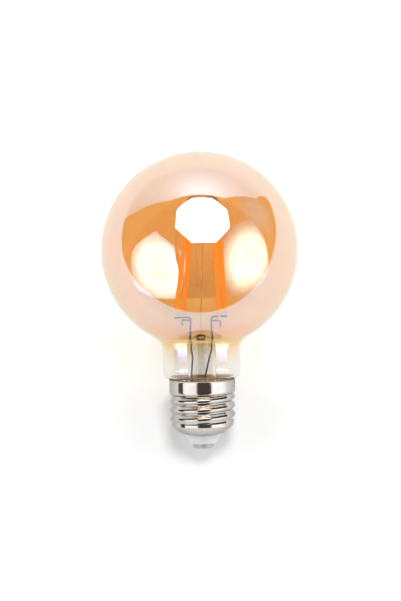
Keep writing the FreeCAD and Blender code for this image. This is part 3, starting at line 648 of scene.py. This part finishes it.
def makeFilament(number, look):
    node = "filament_%d" % number
    start, stop = rodEnds(node)
    length = (stop - start).length
    axis = (stop - start).normalized()
    radius = max((v.co - start).cross(axis).length for v in cadNodes[node].data.vertices)
    inset = radius - look["round"]
    outline = [(0, 0)] + arc((inset, look["round"]), look["round"], -90, 0, look["endSteps"])
    run = length - 2 * look["round"]
    for i in range(1, look["rows"]):
        share = i / look["rows"]
        swell = 1 - look["swell"] * (0.5 - 0.5 * cos(2 * pi * look["chips"] * share))
        outline.append((radius * swell, look["round"] + run * share))
    outline += arc((inset, length - look["round"]), look["round"], 0, 90, look["endSteps"])
    outline.append((0, length))
    bm = lathe(outline, look["steps"])
    tilt = Vector((0, 0, 1)).rotation_difference(stop - start).to_matrix()
    bmesh.ops.rotate(bm, verts=bm.verts[:], cent=(0, 0, 0), matrix=tilt)
    bmesh.ops.translate(bm, verts=bm.verts[:], vec=start)
    piece = newObject("filament_coat_%d" % number, bm, look["crease"])
    dress(piece, finish["phosphor"], "phosphor", node)


for number in filamentNumbers:
    makeFilament(number, filamentCoat)

# nodes that keep their own shape take a finish
nodeFinish = dict(
    lead_wire_right="leadWire", lead_wire_left="leadWire", branch_wire_right="leadWire",
    branch_wire_left="leadWire", top_wire_low="leadWire", top_wire_high="leadWire",
    support_wire="supportWire", shell_wire="leadWire", solder_bead="solder", driver_board="board",
    bridge_rectifier="chip", driver_chip="chip", smoothing_capacitor="capacitor",
    fuse_resistor="resistor")
for number in filamentNumbers:
    nodeFinish["lower_tab_%d" % number] = "tabMetal"
    nodeFinish["upper_tab_%d" % number] = "tabMetal"
for node, name in nodeFinish.items():
    for holder in cadNodes[node].material_slots:
        holder.material = finish[name]
print("wires and driver dressed")

# the studio is set round the globe
globeLow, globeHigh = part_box("glass_globe")
globeRadius = (globeHigh.x - globeLow.x) / 2
globeMiddle = Vector((0, 0, globeHigh.z - globeRadius))

# white table under the bulb, swept up past its crown and seen from the front only
# pairs are the left and right edges of the sheet
backdrop = dict(
    table=(-0.42, 1.05), bend=(-0.60, 0.32), upright=(-0.80, 0.50), top=(-0.36, 0.30),
    tilt=23.9, gap=0.2 * mm, below=0.34, above=0.27, sweep=0.15, sweepSteps=16, wall=0.40,
    glow=0.16, paper=0.95, lift=0.04)


def makeBackdrop(look):
    tilt = radians(look["tilt"])
    along = Vector((0, sin(tilt), cos(tilt)))
    out = Vector((0, -cos(tilt), sin(tilt)))
    foot = globeMiddle - out * (globeRadius + look["gap"])
    bend = foot + along * look["above"]
    rows = [(foot - along * look["below"], look["table"]), (foot, look["table"])]
    steps = look["sweepSteps"]
    for number, (u, v) in enumerate(arc((0, 0), look["sweep"], -90, 0, steps)):
        ends = [a + (b - a) * number / steps for a, b in zip(look["bend"], look["upright"])]
        rows.append((bend + along * u + out * (look["sweep"] + v), ends))
    rows.append((rows[-1][0] + out * look["wall"], look["top"]))
    bm = bmesh.new()
    sides = []
    for side in (0, 1):
        chain = [bm.verts.new(point + Vector((ends[side], 0, 0))) for point, ends in rows]
        sides += [bm.edges.new(pair) for pair in zip(chain, chain[1:])]
    bmesh.ops.bridge_loops(bm, edges=sides)
    bm.normal_update()
    facing = sum((face.normal for face in bm.faces), Vector())
    if facing.dot(out - along) < 0:
        bmesh.ops.reverse_faces(bm, faces=bm.faces[:])
    sheet = newObject("backdrop", bm)
    material, tree = newMaterial("backdrop paper")
    glow = put(tree, "Emission", {"Strength": 1.0})
    paper = put(tree, "BsdfDiffuse", {"Color": rgba([look["paper"]] * 3)})
    lit = put(tree, "MixShader", {"Fac": look["glow"]})
    clear = put(tree, "BsdfTransparent")
    side = put(tree, "NewGeometry")
    either = put(tree, "MixShader")
    # the camera sees the paper a little lighter, so that it is white clear of the shadow
    rays = put(tree, "LightPath")
    lift = put(tree, "Math", {1: look["lift"]}, operation="MULTIPLY")
    more = put(tree, "Emission")
    seen = put(tree, "AddShader")
    join(tree, rays, "Is Camera Ray", lift, 0)
    join(tree, lift, "Value", more, "Strength")
    join(tree, paper, "BSDF", lit, 1)
    join(tree, glow, "Emission", lit, 2)
    join(tree, lit, "Shader", seen, 0)
    join(tree, more, "Emission", seen, 1)
    join(tree, side, "Backfacing", either, "Fac")
    join(tree, seen, "Shader", either, 1)
    join(tree, clear, "BSDF", either, 2)
    finishMaterial(tree, either, "Shader")
    material.cycles.emission_sampling = "NONE"
    sheet.data.materials.append(material)


makeBackdrop(backdrop)

# which rays see a card: a light path value and the glossy depth, each as middle and spread
cardRays = dict(
    front=dict(path="Transmission Depth", level=(0.5, 2.0), bounces=(1.5, 1.0)),   # front of the globe
    hollow=dict(path="Transmission Depth", level=(4.5, 2.0), bounces=(1.0, 0.5)),  # its hollow back
    metal=dict(path="Is Singular Ray", level=(0.0, 0.5), bounces=(2.5, 2.0)))


# light cards of the studio, which only gloss and glass see
def makeCard(name, look):
    bm = bmesh.new()
    if "outline" in look:
        bm.faces.new([bm.verts.new(corner + (0,)) for corner in look["outline"]])
    else:
        bmesh.ops.create_circle(bm, cap_ends=True, segments=look["corners"], radius=look["radius"],
                                matrix=Matrix.Rotation(radians(look["turn"]), 4, "Z"))
    card = newObject(name, bm)
    card.matrix_world = aimed(look["place"], look["aim"], "Z")
    for way in ("camera", "diffuse", "shadow", "volume_scatter"):
        setattr(card, "visible_" + way, False)
    material, tree = newMaterial(name + " light")
    # from the middle of the card to its edge: colour, strength and how solid it is
    spot = put(tree, "TexCoord")
    reach = put(tree, "VectorMath", operation="LENGTH")
    away = mapRange(tree, (look["core"], look["edge"]), curve="SMOOTHSTEP")
    fall = mapRange(tree, (0.0, 1.0), look["strength"])
    melt = mapRange(tree, (0.0, 1.0), (1.0, look.get("rim", 1.0)))
    tint = put(tree, "Mix", data_type="RGBA", inputs={
        colourA: rgba(look.get("coreColour", (1, 1, 1))),
        colourB: rgba(look.get("edgeColour", (1, 1, 1)))})
    glow = put(tree, "Emission")
    join(tree, spot, "Object", reach, 0)
    join(tree, reach, "Value", away, "Value")
    join(tree, away, "Result", fall, "Value")
    join(tree, away, "Result", melt, "Value")
    join(tree, away, "Result", tint, mixShare)
    join(tree, fall, "Result", glow, "Strength")
    join(tree, tint, colourMixed, glow, "Color")
    # only the chosen rays see it
    seen = cardRays[look["seen"]]
    rays = put(tree, "LightPath")
    pick = put(tree, "Math", {1: seen["level"][0], 2: seen["level"][1]}, operation="COMPARE")
    once = put(tree, "Math", {1: seen["bounces"][0], 2: seen["bounces"][1]}, operation="COMPARE")
    sharp = put(tree, "Math", {1: 1.0}, operation="MULTIPLY")
    both = put(tree, "Math", operation="MULTIPLY")
    share = put(tree, "Math", operation="MULTIPLY")
    join(tree, rays, seen["path"], pick, 0)
    join(tree, rays, "Glossy Depth", once, 0)
    join(tree, pick, "Value", sharp, 0)
    if look["seen"] != "metal":
        join(tree, rays, "Is Singular Ray", sharp, 1)
    join(tree, sharp, "Value", both, 0)
    join(tree, once, "Value", both, 1)
    join(tree, both, "Value", share, 0)
    join(tree, melt, "Result", share, 1)
    clear = put(tree, "BsdfTransparent")
    either = put(tree, "MixShader")
    join(tree, share, "Value", either, "Fac")
    join(tree, clear, "BSDF", either, 1)
    join(tree, glow, "Emission", either, 2)
    finishMaterial(tree, either, "Shader")
    material.cycles.emission_sampling = "NONE"
    card.data.materials.append(material)


# blue light, which the amber glass turns white
blueLight = dict(coreColour=(0.40, 0.49, 1.0), edgeColour=(0.13, 0.27, 1.0))
cards = dict(
    octagon_card=dict(
        place=(0.070, -0.678, 0.628), aim=(0.064, 0.096, 0.425), corners=8, radius=0.495, turn=22.5,
        core=0.3, edge=0.5, strength=(6.0, 6.0), seen="front"),
    side_card=dict(
        place=(0.67, -0.10, 0.50), aim=(0, 0, 0.08), corners=32, radius=0.4, turn=0.0,
        core=0.05, edge=0.4, strength=(0.35, 0.35), rim=0.0, seen="front"),
    right_card=dict(
        blueLight, place=(0.338, -0.232, 0.221), aim=(-0.029, -0.100, 0.065),
        outline=((-0.02, -0.39), (-0.56, 0.03), (0.02, 0.36), (0.56, -0.05)),
        core=0.02, edge=0.36, strength=(90.0, 20.0), seen="hollow"),
    left_card=dict(
        blueLight, place=(-0.368, -0.150, 0.155), aim=(0, 0, 0.08), corners=32, radius=0.36, turn=0.0,
        core=0.0, edge=0.36, strength=(75.0, 6.0), seen="hollow"),
    metal_octagon=dict(
        place=(0.05, -0.705, 0.45), aim=(0, 0, 0.02),
        outline=((-0.33, -0.10), (0.33, -0.10), (0.33, 0.10), (-0.33, 0.10)),
        core=0.3, edge=0.5, strength=(4.0, 4.0), seen="metal"),
    left_panel=dict(
        place=(-0.208, -0.217, 0.02), aim=(0, 0, 0.02),
        outline=((-0.14, -0.60), (0.14, -0.60), (0.14, 0.0), (-0.14, 0.0)),
        core=0.0, edge=0.5, strength=(1.4, 1.05), seen="metal"),
    right_panel=dict(
        place=(0.262, -0.146, 0.02), aim=(0, 0, 0.02),
        outline=((-0.168, -0.60), (0.168, -0.60), (0.168, 0.0), (-0.168, 0.0)),
        core=0.0, edge=0.5, strength=(1.5, 1.1), seen="metal"),
)
for name, look in cards.items():
    makeCard(name, look)

# soft lamps, which light the pieces but are not mirrored in them
lamps = dict(
    key_lamp=dict(place=(0.10, -0.65, 0.55), aim=(0, 0, 0.06), size=0.3, watts=3.8),
    left_lamp=dict(place=(-0.60, -0.35, 0.25), aim=(0, 0, 0.06), size=0.5, watts=1.6),
    right_lamp=dict(place=(0.60, -0.35, 0.30), aim=(0, 0, 0.06), size=0.5, watts=1.6),
    low_lamp=dict(place=(0.0, -0.55, -0.30), aim=(0, 0, 0.06), size=0.5, watts=0.75),
    paper_lamp=dict(place=(0.0, -0.281, 0.445), aim=(0.0, -0.2, 0.628), size=0.3, watts=0.75),
)


def makeLamp(name, look):
    light = bpy.data.lights.new(name, "AREA")
    light.size = look["size"]
    light.energy = look["watts"]
    lamp = bpy.data.objects.new(name, light)
    scene.collection.objects.link(lamp)
    lamp.matrix_world = aimed(look["place"], look["aim"], "-Z")
    for way in ("camera", "glossy", "transmission"):
        setattr(lamp, "visible_" + way, False)


for name, look in lamps.items():
    makeLamp(name, look)

# world: white behind the bulb and through the glass, a dark room in the reflections,
# and a soft fill for the rest
worldLook = dict(white=1.0, room=0.08, deep=0.70, fill=0.15, warm=(1.0, 0.72, 0.55))


def makeWorld(look):
    world = bpy.data.worlds.new("studio")
    scene.world = world
    world.use_nodes = True
    tree = world.node_tree
    tree.nodes.clear()
    rays = put(tree, "LightPath")
    straight = put(tree, "Math", {1: 0.5}, operation="LESS_THAN")  # no glossy bounce yet
    seen = put(tree, "Math", operation="MULTIPLY")
    white = put(tree, "Math", operation="MAXIMUM")
    gloss = put(tree, "Math", operation="MAXIMUM")
    inner = mapRange(tree, (0.0, 1.0), (look["room"], look["deep"]))
    join(tree, rays, "Glossy Depth", straight, 0)
    join(tree, rays, "Transmission Depth", inner, "Value")
    join(tree, straight, 0, seen, 0)
    join(tree, rays, "Is Transmission Ray", seen, 1)
    join(tree, rays, "Is Camera Ray", white, 0)
    join(tree, seen, 0, white, 1)
    join(tree, rays, "Is Glossy Ray", gloss, 0)
    join(tree, rays, "Is Transmission Ray", gloss, 1)
    room = put(tree, "Background", {"Color": rgba(look["warm"])})
    fill = put(tree, "Background", {"Color": (1, 1, 1, 1), "Strength": look["fill"]})
    paper = put(tree, "Background", {"Color": (1, 1, 1, 1), "Strength": look["white"]})
    dim = put(tree, "MixShader")
    level = put(tree, "MixShader")
    out = put(tree, "OutputWorld")
    join(tree, inner, "Result", room, "Strength")
    join(tree, gloss, 0, dim, "Fac")
    join(tree, fill, "Background", dim, 1)
    join(tree, room, "Background", dim, 2)
    join(tree, white, 0, level, "Fac")
    join(tree, dim, "Shader", level, 1)
    join(tree, paper, "Background", level, 2)
    join(tree, level, "Shader", out, "Surface")


makeWorld(worldLook)

# camera level with the lower half of the globe, rolled a little
cameraLook = dict(
    place=(0.0, -0.545, 0.0726), aim=(0.0, 0.0, 0.060), focalPixels=1340.0, heightPixels=601,
    roll=1.1, sensor=36.0)


def makeCamera(look):
    data = bpy.data.cameras.new("camera")
    data.sensor_width = look["sensor"]
    data.lens = look["focalPixels"] * look["sensor"] / look["heightPixels"]
    camera = bpy.data.objects.new("camera", data)
    scene.collection.objects.link(camera)
    roll = Matrix.Rotation(-radians(look["roll"]), 4, "Z")
    camera.matrix_world = aimed(look["place"], look["aim"], "-Z") @ roll
    scene.camera = camera


makeCamera(cameraLook)
print("studio set")
